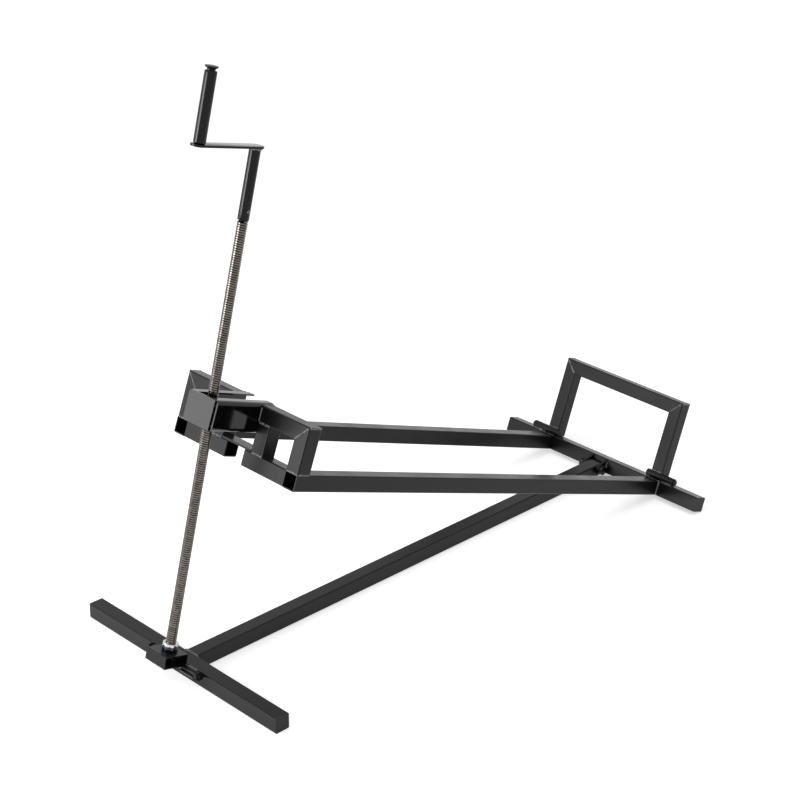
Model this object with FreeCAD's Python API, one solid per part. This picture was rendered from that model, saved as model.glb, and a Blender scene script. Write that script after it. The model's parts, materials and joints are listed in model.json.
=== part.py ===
import FreeCAD, Part
import math
import os

# Screw-operated lawn mower jack, millimetres, Z up, X across, Y towards the backstop.
# Origin: on the floor, under the middle of the front foot.
Vector = FreeCAD.Vector

# Main square tube
tube = 30.0
tube_wall = 2.0
tube_corner = 2.5
cap_thickness = 2.0

# Base: front foot and spine
foot_length = 514.0
spine_overhang = 8.0
spine_bevel_height = 16.0
spine_bevel_length = 12.0

# Rear hinge between the spine and the lifting frame
hinge_y = 1089.0
hinge_setback = 14.0
hinge_rise = 6.0
hinge_bolt_diameter = 10.0
hinge_bolt_clearance = 0.1
hinge_head_across = 17.0
hinge_head_height = 6.5
hinge_nut_height = 8.0
hinge_thread_end = 3.0
ear_thickness = 6.0
ear_side_gap = 0.5
ear_nose_radius = 11.0
ear_height = 28.0
ear_back_angle = 30.0
washer_thickness = 2.0
washer_diameter = 20.0

# Lifting frame, given as it lies when level and then tilted to its half-raised place
frame_tilt = 20.2
rail_length = 1047.0
rail_spacing = 286.0
rear_bar_length = 512.0
portal_height = 114.0
lower_bar_gap = 46.0
tie_plate_thickness = 4.0
tie_plate_side_gap = 0.5

# Nut channel at the front of the lifting frame
channel_width = 75.0
channel_height = 54.0
channel_rise = 2.0
channel_wall = 3.0
channel_corner = 8.0
channel_reach = 104.5
channel_plate_thickness = 3.0
channel_plate_width = 63.0
channel_plate_corner = 1.0
channel_slot_width = 33.0
channel_floor_slot_length = 89.0

# Folding backstop
stop_tube = 28.0
stop_width = 310.0
stop_height = 196.2
stop_setback = 7.3
knuckle_radius = 7.5
knuckle_bore_clearance = 0.1
knuckle_seat_gap = 0.3
knuckle_end_gap = 0.4
knuckle_inner_overhang = 6.0
knuckle_outer_length = 34.0
knuckle_setback = 7.0
knuckle_saddle_width = 10.0
stop_pin_diameter = 8.0
stop_pin_head_diameter = 12.0
stop_pin_head_height = 3.0

# Pivot of the screw block on the front foot
cradle_outer_radius = 10.0
cradle_let_in = 1.0
cradle_clearance = 0.05
cradle_length = 34.0
cradle_end_gap = 1.5
pivot_pin_diameter = 12.0
pivot_pin_head_diameter = 17.0
pivot_pin_head_height = 3.0
pivot_pin_thread = 12.0
pivot_nut_across = 17.0
pivot_nut_height = 8.0
pivot_end_gap = 0.5

# Screw block, a short rectangular tube that carries the thrust bearing
block_width = 52.0
block_depth = 50.0
block_height = 22.0
block_wall = 2.0
block_corner = 2.0
block_rise = 0.5
block_shift = -4.5

# Screw, given upright over the pivot pin and then leaned to its half-raised place
screw_lean = 14.1
screw_offset = 15.0
screw_diameter = 18.0
screw_journal_diameter = 12.0
screw_end_below_block = 1.0
socket_spigot_diameter = 15.0
socket_spigot_length = 58.0
race_diameter = 28.0
lower_race_height = 9.0
upper_race_height = 6.0
race_gap = 0.2
running_gap = 0.05
journal_nut_across = 19.0
journal_nut_height = 8.0

# Lifting nut with its cross pins
nut_rest_height = 462.0
nut_width = 34.0
nut_front_wall = 2.3
nut_rear_depth = 15.0
nut_height = 26.0
nut_bore_clearance = 0.1
trunnion_diameter = 12.0
trunnion_wall_gap = 1.5

# Crank
socket_bottom = 792.0
socket_length = 121.0
socket_diameter = 20.0
socket_pin_diameter = 5.0
socket_pin_height = 15.5
socket_pin_proud = 0.3
crank_angle = 271.7
crank_reach = 124.0
arm_width = 26.0
arm_thickness = 4.0
arm_end_overhang = 15.0
arm_end_flat = 0.02
spindle_diameter = 10.0
grip_diameter = 21.0
grip_length = 117.0
grip_bore_clearance = 0.1
grip_end_gap = 0.5
grip_edge_radius = 2.5
grip_neck_diameter = 14.0
grip_neck_gap = 2.0
grip_head_diameter = 23.0
grip_head_cone = 3.0
grip_head_rim = 1.5
grip_head_dome = 2.0

# Places worked out from the sizes above
half_tube = tube / 2
hinge_z = (
    tube_corner
    + (hinge_setback + tube - tube_corner) * math.sin(math.radians(frame_tilt))
    + (hinge_rise - tube_corner) * math.cos(math.radians(frame_tilt))
)
rail_x = rail_spacing / 2
bar_front = hinge_setback
bar_bottom = -hinge_rise
bar_top = bar_bottom + tube
frame_front = bar_front - rail_length
portal_top = bar_bottom + portal_height
channel_side = channel_width / 2
channel_top = portal_top + channel_rise
channel_front = frame_front - channel_reach
pivot_y = -half_tube - cradle_outer_radius + cradle_let_in
pivot_z = tube
screw_axis_y = -screw_offset
block_bottom = block_rise
block_top = block_bottom + block_height
screw_thread_start = block_top + lower_race_height + race_gap
screw_top = socket_bottom + socket_spigot_length
arm_bottom = socket_bottom + socket_length
grip_bottom = arm_bottom + arm_thickness + grip_end_gap
grip_top = grip_bottom + grip_length
stop_pivot_y = bar_front + knuckle_setback
stop_pivot_z = bar_top + knuckle_radius + knuckle_seat_gap


def save(name, shape):
    """Writes one node to its STEP file."""
    shape.exportStep("parts/" + name + ".step")


def rounded_rectangle(width, height, radius):
    """Face in the XY plane, centred, with four rounded corners."""
    x = width / 2
    y = height / 2
    up = Vector(0, 0, 1)
    edges = []
    for corner_x, corner_y, start in (
        (x - radius, y - radius, 0),
        (-x + radius, y - radius, 90),
        (-x + radius, -y + radius, 180),
        (x - radius, -y + radius, 270),
    ):
        centre = Vector(corner_x, corner_y, 0)
        edges.append(Part.makeCircle(radius, centre, up, start, start + 90))
    sides = []
    for first, second in zip(edges, edges[1:] + edges[:1]):
        sides.append(first)
        sides.append(Part.makeLine(first.lastVertex().Point, second.firstVertex().Point))
    return Part.Face(Part.Wire(sides))


def hollow_tube(width, height, wall, corner, length):
    """Rectangular tube along Z from the origin."""
    outer = rounded_rectangle(width, height, corner)
    inner_corner = max(corner - wall, wall / 4)
    inner = rounded_rectangle(width - 2 * wall, height - 2 * wall, inner_corner)
    return outer.cut(inner).extrude(Vector(0, 0, length))


def along_x(shape, start, y, z):
    """Turns a piece built along Z so that it runs along X from start."""
    turned = shape.copy()
    turned.rotate(Vector(0, 0, 0), Vector(0, 1, 0), 90)
    turned.translate(Vector(start, y, z))
    return turned


def along_y(shape, x, start, z):
    """Turns a piece built along Z so that it runs along Y from start."""
    turned = shape.copy()
    turned.rotate(Vector(0, 0, 0), Vector(1, 0, 0), -90)
    turned.translate(Vector(x, start, z))
    return turned


def along_z(shape, x, y, start):
    """Moves a piece built along Z to its place."""
    moved = shape.copy()
    moved.translate(Vector(x, y, start))
    return moved


def main_tube(length):
    """Main square tube along Z from the origin."""
    return hollow_tube(tube, tube, tube_wall, tube_corner, length)


def box(x0, x1, y0, y1, z0, z1):
    """Box between two corners."""
    return Part.makeBox(x1 - x0, y1 - y0, z1 - z0, Vector(x0, y0, z0))


def rod_x(diameter, x0, x1, y, z):
    """Round bar along X."""
    return Part.makeCylinder(diameter / 2, x1 - x0, Vector(x0, y, z), Vector(1, 0, 0))


def rod_z(diameter, x, y, z0, z1):
    """Round bar along Z."""
    return Part.makeCylinder(diameter / 2, z1 - z0, Vector(x, y, z0), Vector(0, 0, 1))


def hexagon(across, height):
    """Hexagonal prism along Z from the origin, by its width across flats."""
    radius = across / math.sqrt(3)
    points = []
    for index in range(7):
        turn = math.radians(60 * index)
        points.append(Vector(radius * math.cos(turn), radius * math.sin(turn), 0))
    return Part.Face(Part.makePolygon(points)).extrude(Vector(0, 0, height))


def mirrored(shape):
    """The same piece on the other side of the middle plane."""
    return shape.mirror(Vector(0, 0, 0), Vector(1, 0, 0))


def on_base_pivot(shape):
    """Leans a piece of the screw group about the pivot pin and sets it on the foot."""
    placed = shape.copy()
    placed.rotate(Vector(0, 0, 0), Vector(1, 0, 0), -screw_lean)
    placed.translate(Vector(0, pivot_y, pivot_z))
    return placed


def on_lift_frame(shape):
    """Tilts a piece of the lifting frame about the rear hinge and sets it there."""
    placed = shape.copy()
    placed.rotate(Vector(0, 0, 0), Vector(1, 0, 0), -frame_tilt)
    placed.translate(Vector(0, hinge_y, hinge_z))
    return placed


def corner_wedge(x, z, far):
    """Half space outside a 45 degree mitre line through x, z that rises towards the outside."""
    points = [
        Vector(x - far, -far, z - far),
        Vector(x + far, -far, z + far),
        Vector(x + far, -far, z - far),
        Vector(x - far, -far, z - far),
    ]
    wedge = Part.Face(Part.makePolygon(points)).extrude(Vector(0, 3 * far, 0))
    wedge.translate(Vector(0, frame_front, 0))
    return wedge


def end_cap():
    """Flush cap welded on an open tube end, along Z."""
    return rounded_rectangle(tube, tube, tube_corner).extrude(Vector(0, 0, cap_thickness))


def make_base():
    """Front foot, its caps, the spine and the two cradles for the pivot pin."""
    half = foot_length / 2
    foot = along_x(main_tube(foot_length - 2 * cap_thickness), -half + cap_thickness, 0, half_tube)
    save("front_foot", foot)
    caps = [along_x(end_cap(), x, 0, half_tube) for x in (-half, half - cap_thickness)]
    save("foot_caps", Part.makeCompound(caps))

    spine_end = hinge_y + spine_overhang
    spine = along_y(main_tube(spine_end - half_tube), 0, half_tube, half_tube)
    beyond = spine_end + tube
    bevel = Part.Face(Part.makePolygon([
        Vector(-tube, beyond, spine_bevel_height),
        Vector(-tube, spine_end, spine_bevel_height),
        Vector(-tube, spine_end - spine_bevel_length, 0),
        Vector(-tube, spine_end - spine_bevel_length, -tube),
        Vector(-tube, beyond, -tube),
        Vector(-tube, beyond, spine_bevel_height),
    ])).extrude(Vector(2 * tube, 0, 0))
    spine = spine.cut(bevel)
    bore = hinge_bolt_diameter + 2 * hinge_bolt_clearance
    save("spine", spine.cut(rod_x(bore, -tube, tube, hinge_y, hinge_z)))

    inner = pivot_pin_diameter / 2 + cradle_clearance
    start = block_width / 2 + cradle_end_gap
    ring = rod_x(2 * cradle_outer_radius, start, start + cradle_length, pivot_y, pivot_z)
    ring = ring.cut(rod_x(2 * inner, start, start + cradle_length, pivot_y, pivot_z))
    above = box(0, foot_length, pivot_y - tube, pivot_y + tube, pivot_z, pivot_z + tube)
    foot_body = along_x(
        rounded_rectangle(tube, tube, tube_corner).extrude(Vector(0, 0, foot_length)), 0, 0, half_tube
    )
    cradle = ring.cut(above).cut(foot_body)
    save("pivot_cradle_right", cradle)
    save("pivot_cradle_left", mirrored(cradle))


def make_hinge():
    """Bolt, washers and nut of the rear hinge."""
    ear_outside = half_tube + ear_side_gap + ear_thickness
    bolt_start = -ear_outside - washer_thickness - hinge_nut_height - hinge_thread_end
    bolt_end = ear_outside + washer_thickness
    shank = rod_x(hinge_bolt_diameter, bolt_start, bolt_end, hinge_y, hinge_z)
    head = along_x(hexagon(hinge_head_across, hinge_head_height), bolt_end, hinge_y, hinge_z)
    save("hinge_bolt", shank.fuse(head).removeSplitter())

    hole = hinge_bolt_diameter + 2 * hinge_bolt_clearance
    washers = []
    for x in (-ear_outside - washer_thickness, ear_outside):
        disc = rod_x(washer_diameter, x, x + washer_thickness, hinge_y, hinge_z)
        washers.append(disc.cut(rod_x(hole, x, x + washer_thickness, hinge_y, hinge_z)))
    save("hinge_washers", Part.makeCompound(washers))

    nut_start = -ear_outside - washer_thickness - hinge_nut_height
    nut = along_x(hexagon(hinge_head_across, hinge_nut_height), nut_start, hinge_y, hinge_z)
    save("hinge_nut", nut.cut(rod_x(hinge_bolt_diameter, nut_start, 0, hinge_y, hinge_z)))


def make_rails():
    """Two rails, the rear bar with its caps and the hinge ears."""
    rail_z = bar_bottom + half_tube
    rail = along_y(main_tube(rail_length), rail_x, frame_front, rail_z)
    save("rail_right", on_lift_frame(rail))
    save("rail_left", on_lift_frame(mirrored(rail)))

    half = rear_bar_length / 2
    bar_y = bar_front + half_tube
    bar = along_x(main_tube(rear_bar_length - 2 * cap_thickness), -half + cap_thickness, bar_y, rail_z)
    save("rear_bar", on_lift_frame(bar))
    caps = [along_x(end_cap(), x, bar_y, rail_z) for x in (-half, half - cap_thickness)]
    save("rear_bar_caps", on_lift_frame(Part.makeCompound(caps)))

    inside = half_tube + ear_side_gap
    nose = rod_x(2 * ear_nose_radius, inside, inside + ear_thickness, 0, 0)
    back = math.radians(ear_back_angle)
    web = Part.Face(Part.makePolygon([
        Vector(inside, bar_front, bar_bottom),
        Vector(inside, 0, -ear_nose_radius),
        Vector(inside, -ear_nose_radius, 0),
        Vector(inside, -ear_nose_radius * math.sin(back), ear_nose_radius * math.cos(back)),
        Vector(inside, bar_front, bar_bottom + ear_height),
        Vector(inside, bar_front, bar_bottom),
    ])).extrude(Vector(ear_thickness, 0, 0))
    nose = nose.cut(box(0, tube, bar_front, bar_front + tube, -tube, tube))
    hole = hinge_bolt_diameter + 2 * hinge_bolt_clearance
    ear = nose.fuse(web).cut(rod_x(hole, 0, tube, 0, 0)).removeSplitter()
    save("hinge_ear_right", on_lift_frame(ear))
    save("hinge_ear_left", on_lift_frame(mirrored(ear)))


def make_portal():
    """Posts, top bars, lower bars and tie plate at the front of the lifting frame."""
    post_y = frame_front + half_tube
    reach = 2 * portal_height
    top_z = portal_top - half_tube
    outside = rail_x + half_tube
    wedge = corner_wedge(outside, portal_top, reach)

    post = along_z(main_tube(portal_height - tube), rail_x, post_y, bar_top)
    save("outer_post_right", on_lift_frame(post.common(wedge)))
    save("outer_post_left", on_lift_frame(mirrored(post.common(wedge))))

    top_bar = along_x(main_tube(outside - channel_side), channel_side, post_y, top_z).cut(wedge)
    save("top_bar_right", on_lift_frame(top_bar))
    save("top_bar_left", on_lift_frame(mirrored(top_bar)))

    rail_inside = rail_x - half_tube
    lower_start = lower_bar_gap / 2
    lower_z = bar_bottom + half_tube
    lower_bar = along_x(main_tube(rail_inside - lower_start), lower_start, post_y, lower_z)
    save("lower_bar_right", on_lift_frame(lower_bar))
    save("lower_bar_left", on_lift_frame(mirrored(lower_bar)))

    inner_length = portal_height - 2 * tube
    inner_post = along_z(main_tube(inner_length), channel_side + half_tube, post_y, bar_top)
    save("inner_post_right", on_lift_frame(inner_post))
    save("inner_post_left", on_lift_frame(mirrored(inner_post)))

    plate_x = channel_side - tie_plate_side_gap
    plate = box(-plate_x, plate_x, frame_front, frame_front + tube, bar_top, bar_top + tie_plate_thickness)
    save("tie_plate", on_lift_frame(plate))


def make_channel():
    """Slotted rectangular channel that takes the lifting nut, and its front plate."""
    start = channel_front + channel_plate_thickness
    end = frame_front + tube
    centre_z = channel_top - channel_height / 2
    body = along_y(
        hollow_tube(channel_width, channel_height, channel_wall, channel_corner, end - start), 0, start, centre_z
    )
    slot = channel_slot_width / 2
    top_slot = box(-slot, slot, start, end, centre_z, channel_top)
    floor_end = start + channel_floor_slot_length
    floor_slot = box(-slot, slot, start, floor_end, channel_top - channel_height, centre_z)
    save("nut_channel", on_lift_frame(body.cut(top_slot).cut(floor_slot)))

    plate = rounded_rectangle(channel_plate_width, channel_height, channel_plate_corner)
    plate = along_y(plate.extrude(Vector(0, 0, channel_plate_thickness)), 0, channel_front, centre_z)
    save("channel_front_plate", on_lift_frame(plate))


def make_backstop():
    """Folding loop behind the wheels, with its knuckles and pins."""
    top = bar_bottom + stop_height
    stop_y = bar_front + stop_setback + stop_tube / 2
    outside = stop_width / 2
    inside = outside - stop_tube
    foot_z = bar_top + knuckle_seat_gap
    wedge = corner_wedge(outside, top, 2 * stop_height)
    wedge.translate(Vector(0, rail_length, 0))

    def stop_piece(length):
        """Square tube of the backstop along Z from the origin."""
        return hollow_tube(stop_tube, stop_tube, tube_wall, tube_corner, length)

    knuckle_start = inside - knuckle_inner_overhang
    knuckle = rod_x(2 * knuckle_radius, knuckle_start, outside, stop_pivot_y, stop_pivot_z)
    upright = along_z(stop_piece(top - foot_z), outside - stop_tube / 2, stop_y, foot_z)
    upright = upright.common(wedge).cut(knuckle)
    save("backstop_upright_right", on_lift_frame(upright))
    save("backstop_upright_left", on_lift_frame(mirrored(upright)))

    bar = along_x(stop_piece(stop_width), -outside, stop_y, top - stop_tube / 2)
    bar = bar.cut(wedge).cut(mirrored(wedge))
    save("backstop_top_bar", on_lift_frame(bar))

    bore = stop_pin_diameter + 2 * knuckle_bore_clearance
    inner_knuckle = knuckle.cut(rod_x(bore, knuckle_start, outside, stop_pivot_y, stop_pivot_z))
    save("backstop_knuckle_right", on_lift_frame(inner_knuckle))
    save("backstop_knuckle_left", on_lift_frame(mirrored(inner_knuckle)))

    seat_start = outside + knuckle_end_gap
    seat_end = seat_start + knuckle_outer_length
    seat = rod_x(2 * knuckle_radius, seat_start, seat_end, stop_pivot_y, stop_pivot_z)
    saddle_y = knuckle_saddle_width / 2
    saddle = box(seat_start, seat_end, stop_pivot_y - saddle_y, stop_pivot_y + saddle_y, bar_top, stop_pivot_z)
    seat = seat.fuse(saddle).cut(rod_x(stop_pin_diameter, seat_start, seat_end, stop_pivot_y, stop_pivot_z))
    save("backstop_seat_right", on_lift_frame(seat.removeSplitter()))
    save("backstop_seat_left", on_lift_frame(mirrored(seat.removeSplitter())))

    pin = rod_x(stop_pin_diameter, knuckle_start, seat_end, stop_pivot_y, stop_pivot_z)
    head = rod_x(
        stop_pin_head_diameter, seat_end, seat_end + stop_pin_head_height, stop_pivot_y, stop_pivot_z
    )
    pin = pin.fuse(head).removeSplitter()
    save("backstop_pin_right", on_lift_frame(pin))
    save("backstop_pin_left", on_lift_frame(mirrored(pin)))


def make_screw_block():
    """Block that rocks on the foot: tube, pivot pin, pin nut and lower bearing race."""
    centre_y = screw_axis_y + block_shift
    centre_z = block_bottom + block_height / 2
    body = hollow_tube(block_height, block_depth, block_wall, block_corner, block_width)
    body = along_x(body, -block_width / 2, centre_y, centre_z)
    journal_hole = screw_journal_diameter + 2 * running_gap
    body = body.cut(rod_z(journal_hole, 0, screw_axis_y, block_bottom, block_top))
    pin_end = block_width / 2 + cradle_end_gap + cradle_length + pivot_end_gap
    pin = rod_x(pivot_pin_diameter, -pin_end, pin_end + pivot_pin_thread, 0, 0)
    save("screw_block", on_base_pivot(body.cut(pin)))

    head = rod_x(pivot_pin_head_diameter, -pin_end - pivot_pin_head_height, -pin_end, 0, 0)
    save("pivot_pin", on_base_pivot(pin.fuse(head).removeSplitter()))
    nut = along_x(hexagon(pivot_nut_across, pivot_nut_height), pin_end, 0, 0)
    save("pivot_nut", on_base_pivot(nut.cut(rod_x(pivot_pin_diameter, pin_end, pin_end + tube, 0, 0))))

    race = rod_z(race_diameter, 0, screw_axis_y, block_top, block_top + lower_race_height)
    hole = rod_z(journal_hole, 0, screw_axis_y, block_top, block_top + lower_race_height)
    save("bearing_race_lower", on_base_pivot(race.cut(hole)))


def make_screw():
    """Screw with its journal, upper race and journal nut."""
    journal_end = block_bottom - screw_end_below_block
    journal = rod_z(screw_journal_diameter, 0, screw_axis_y, journal_end, screw_thread_start)
    thread = rod_z(screw_diameter, 0, screw_axis_y, screw_thread_start, socket_bottom)
    spigot = rod_z(socket_spigot_diameter, 0, screw_axis_y, socket_bottom, screw_top)
    pin_z = socket_bottom + socket_pin_height
    pin_hole = rod_x(socket_pin_diameter, -tube, tube, screw_axis_y, pin_z)
    screw = journal.fuse(thread).fuse(spigot).removeSplitter().cut(pin_hole)
    save("screw", on_base_pivot(screw))

    race_end = screw_thread_start + upper_race_height
    race = rod_z(race_diameter, 0, screw_axis_y, screw_thread_start, race_end)
    race = race.cut(rod_z(screw_diameter, 0, screw_axis_y, screw_thread_start, race_end))
    save("bearing_race_upper", on_base_pivot(race))

    nut_top = block_top - block_wall - race_gap
    nut = along_z(hexagon(journal_nut_across, journal_nut_height), 0, screw_axis_y, nut_top - journal_nut_height)
    hole = rod_z(screw_journal_diameter, 0, screw_axis_y, nut_top - journal_nut_height, nut_top)
    save("journal_nut", on_base_pivot(nut.cut(hole)))


def make_lifting_nut():
    """Nut that climbs the screw, with two cross pins inside the channel."""
    bottom = nut_rest_height - nut_height / 2
    front = screw_axis_y - screw_diameter / 2 - nut_bore_clearance - nut_front_wall
    rear = screw_axis_y + nut_rear_depth
    body = box(-nut_width / 2, nut_width / 2, front, rear, bottom, bottom + nut_height)
    pin_reach = channel_side - channel_wall - trunnion_wall_gap
    pins = rod_x(trunnion_diameter, -pin_reach, pin_reach, screw_axis_y, nut_rest_height)
    bore = rod_z(screw_diameter + 2 * nut_bore_clearance, 0, screw_axis_y, bottom, bottom + nut_height)
    save("lifting_nut", on_base_pivot(body.fuse(pins).removeSplitter().cut(bore)))


def make_crank():
    """Socket, its pin, the arm, the spindle and the turning grip."""
    socket = rod_z(socket_diameter, 0, screw_axis_y, socket_bottom, arm_bottom)
    socket = socket.cut(rod_z(socket_spigot_diameter, 0, screw_axis_y, socket_bottom, arm_bottom))
    pin_z = socket_bottom + socket_pin_height
    pin_reach = socket_diameter / 2 + socket_pin_proud
    pin = rod_x(socket_pin_diameter, -pin_reach, pin_reach, screw_axis_y, pin_z)
    save("crank_socket", on_base_pivot(socket.cut(pin)))
    save("socket_pin", on_base_pivot(pin))

    arm_length = crank_reach + 2 * arm_end_overhang
    arm_end_radius = (arm_width - arm_end_flat) / 2
    arm = rounded_rectangle(arm_length, arm_width, arm_end_radius).extrude(Vector(0, 0, arm_thickness))
    arm.translate(Vector(crank_reach / 2, 0, arm_bottom))
    spindle_hole = rod_z(spindle_diameter, crank_reach, 0, arm_bottom, arm_bottom + arm_thickness)
    arm = arm.cut(spindle_hole)

    neck_top = grip_top + grip_neck_gap
    cone_top = neck_top + grip_head_cone
    rim_top = cone_top + grip_head_rim
    spindle = rod_z(spindle_diameter, crank_reach, 0, arm_bottom, grip_top)
    neck = rod_z(grip_neck_diameter, crank_reach, 0, grip_top + grip_end_gap, neck_top)
    stem = rod_z(spindle_diameter, crank_reach, 0, grip_top, grip_top + grip_end_gap)
    place = Vector(crank_reach, 0, neck_top)
    cone = Part.makeCone(grip_neck_diameter / 2, grip_head_diameter / 2, grip_head_cone, place)
    rim = rod_z(grip_head_diameter, crank_reach, 0, cone_top, rim_top)
    dome_top_radius = grip_head_diameter / 2 - 2 * grip_head_dome
    dome = Part.makeCone(
        grip_head_diameter / 2, dome_top_radius, grip_head_dome, Vector(crank_reach, 0, rim_top)
    )
    spindle = spindle.fuse([stem, neck, cone, rim, dome]).removeSplitter()

    sleeve = rod_z(grip_diameter, crank_reach, 0, grip_bottom, grip_top)
    rims = [edge for edge in sleeve.Edges if edge.Closed]
    sleeve = sleeve.makeFillet(grip_edge_radius, rims)
    bore = spindle_diameter + 2 * grip_bore_clearance
    sleeve = sleeve.cut(rod_z(bore, crank_reach, 0, grip_bottom, grip_top))

    for name, shape in (("crank_arm", arm), ("grip_spindle", spindle), ("grip_sleeve", sleeve)):
        turned = shape.copy()
        turned.rotate(Vector(0, 0, 0), Vector(0, 0, 1), crank_angle)
        turned.translate(Vector(0, screw_axis_y, 0))
        save(name, on_base_pivot(turned))


def main():
    """Builds every group of pieces."""
    os.makedirs("parts", exist_ok=True)
    make_base()
    make_hinge()
    make_rails()
    make_portal()
    make_channel()
    make_backstop()
    make_screw_block()
    make_screw()
    make_lifting_nut()
    make_crank()


main()
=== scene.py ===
"""Screw-operated lawn mower jack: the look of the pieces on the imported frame, as a Blender add-on."""
import json
import math

import bmesh
import bpy
from bpy.props import FloatProperty, FloatVectorProperty, IntProperty, PointerProperty
from mathutils import Matrix, Vector


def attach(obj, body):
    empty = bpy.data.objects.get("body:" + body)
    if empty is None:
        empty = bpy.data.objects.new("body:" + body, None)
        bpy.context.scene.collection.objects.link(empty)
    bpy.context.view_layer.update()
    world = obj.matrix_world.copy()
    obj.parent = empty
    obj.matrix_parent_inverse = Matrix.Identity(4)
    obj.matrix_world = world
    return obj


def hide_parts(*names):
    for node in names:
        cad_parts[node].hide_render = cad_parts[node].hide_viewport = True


bl_info = {
    "name": "Mower Jack Workshop",
    "version": (1, 0, 0),
    "blender": (4, 5, 0),
    "location": "3D View > Sidebar > Mower Jack",
    "description": "Dresses a screw-operated mower jack with paint, thread, welds and fasteners",
    "category": "Object",
}

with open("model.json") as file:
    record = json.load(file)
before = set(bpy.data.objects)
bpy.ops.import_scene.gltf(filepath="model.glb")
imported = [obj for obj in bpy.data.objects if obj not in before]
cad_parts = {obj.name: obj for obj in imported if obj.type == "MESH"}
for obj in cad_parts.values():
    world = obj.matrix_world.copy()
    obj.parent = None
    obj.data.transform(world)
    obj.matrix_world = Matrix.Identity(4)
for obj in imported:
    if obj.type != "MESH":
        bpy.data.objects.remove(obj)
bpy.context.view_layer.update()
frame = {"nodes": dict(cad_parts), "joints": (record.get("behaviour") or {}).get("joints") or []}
joints = {joint["name"]: joint for joint in frame["joints"]}
MM = 0.001


def placed_at(point, angle):
    """Matrix that leans a piece by an angle about X and moves it to a point."""
    return Matrix.Translation(point) @ Matrix.Rotation(-angle, 4, "X")


SCREW_AXIS = Vector(joints["screw_spin"]["axis"])
SCREW_LEAN = math.atan2(SCREW_AXIS.y, SCREW_AXIS.z)
# Lean of the lifting frame as it is packed
FRAME_TILT = math.radians(20.2)
SCREW_PLACE = placed_at(Vector(joints["screw_spin"]["pos_m"]), SCREW_LEAN)
BLOCK_PLACE = placed_at(Vector(joints["block_tilt"]["pos_m"]), SCREW_LEAN)
GRIP_PLACE = placed_at(Vector(joints["grip_spin"]["pos_m"]), SCREW_LEAN)
FRAME_PLACE = placed_at(Vector(joints["lift"]["pos_m"]), FRAME_TILT)


# Sizes and colours that a user may change

def length(name, default, description):
    """Length property in metres, given in millimetres."""
    return FloatProperty(
        name=name, description=description, default=default * MM, min=0, unit="LENGTH", precision=5
    )


def colour(name, default, description):
    """Colour property, given as sRGB hex."""
    return FloatVectorProperty(
        name=name, description=description, default=linear(default), size=4, min=0, max=1, subtype="COLOR"
    )


def watts(name, default, description):
    """Power property of a lamp, in watts."""
    return FloatProperty(name=name, description=description, default=default, min=0, unit="POWER")


def linear(hex_colour):
    """Turns an sRGB hex colour to linear red, green, blue and alpha."""
    parts = [int(hex_colour[i:i + 2], 16) / 255 for i in (1, 3, 5)]
    return tuple(c / 12.92 if c <= 0.04045 else ((c + 0.055) / 1.055) ** 2.4 for c in parts) + (1.0,)


class JackThreadSizes(bpy.types.PropertyGroup):
    """Sizes of the screw's thread"""

    outer: length("Outer diameter", 18, "Outer diameter of the trapezoidal thread")
    depth: length("Thread depth", 2.0, "Radial depth of the thread")
    pitch: length("Pitch", 4, "Rise of the thread in one turn")
    journal: length("Journal diameter", 12, "Plain bottom end that runs in the block")
    bolt_pitch: length("Bolt pitch", 1.75, "Rise of the thread of the pivot pin and the hinge bolt")


class JackWeldSizes(bpy.types.PropertyGroup):
    """Sizes of the weld beads"""

    radius: length("Bead radius", 2.6, "Half the width of a bead")
    spacing: length("Ripple spacing", 2.2, "Distance between two ripples of a bead")
    seed: IntProperty(name="Seed", description="Seed of the uneven ripples", default=7, min=0)


class JackFinishColours(bpy.types.PropertyGroup):
    """Colours of the finishes"""

    powder: colour("Powder coat", "#09090a", "Satin black powder coat of the frame")
    powder_dust: colour("Powder coat haze", "#121213", "Lighter haze on the powder coat")
    enamel: colour("Enamel", "#040405", "Glossy black enamel of the crank and the channel")
    screw: colour("Screw crest", "#918a84", "Bright crest of the rolled thread")
    screw_groove: colour("Screw groove", "#0b0806", "Oily groove of the rolled thread")
    zinc: colour("Zinc", "#9a9da0", "Zinc plate on the hidden nuts and the spring pin")
    black_zinc: colour("Black zinc", "#26272a", "Black zinc plate on the hinge bolt and the backstop pins")
    chrome: colour("Polished race", "#d4d6d8", "Polished upper race of the bearing")
    # Lower race colour: darkened to paint a dark reflection
    lower_race_painted_reflection: colour("Blued race", "#2b2e35", "Blued lower race of the bearing")
    # Weld colour: a lighter grey that paints the beads' highlight
    weld: colour("Weld", "#66686b", "Paint over the weld beads where it catches the light")


class JackStudio(bpy.types.PropertyGroup):
    """Camera and light of the studio"""

    lens: FloatProperty(name="Lens", description="Focal length", default=93.64, min=1, unit="CAMERA")
    floor: colour("Floor", "#fafafa", "Pale paper floor")
    key: watts("Overhead light", 15, "Power of the large overhead lamp")
    side: watts("Side light", 18, "Power of the upright lamp on the left")
    strip: watts("Strip light", 42, "Power of the bright panel on the left")
    surround: FloatProperty(name="Surround", description="Strength of the surround", default=0.5, min=0)


# Materials

def shader(name):
    """New node material with its tree and its principled shader."""
    material = bpy.data.materials.new(name)
    material.use_nodes = True
    tree = material.node_tree
    return material, tree, tree.nodes["Principled BSDF"]


def set_up(tree, node, settings=None, links=None):
    """Sets a node's properties and inputs and links sockets into it."""
    for key, value in (settings or {}).items():
        if isinstance(key, str) and hasattr(node, key):
            setattr(node, key, value)
        else:
            node.inputs[key].default_value = value
    for key, socket in (links or {}).items():
        tree.links.new(socket, node.inputs[key])
    return node


def add(tree, kind, settings=None, links=None):
    """Adds a node to a tree with its settings and links."""
    return set_up(tree, tree.nodes.new(kind), settings, links)


def per_mm(grain):
    """Scale of a pattern whose grain is given in millimetres."""
    return 1 / (grain * MM)


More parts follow.
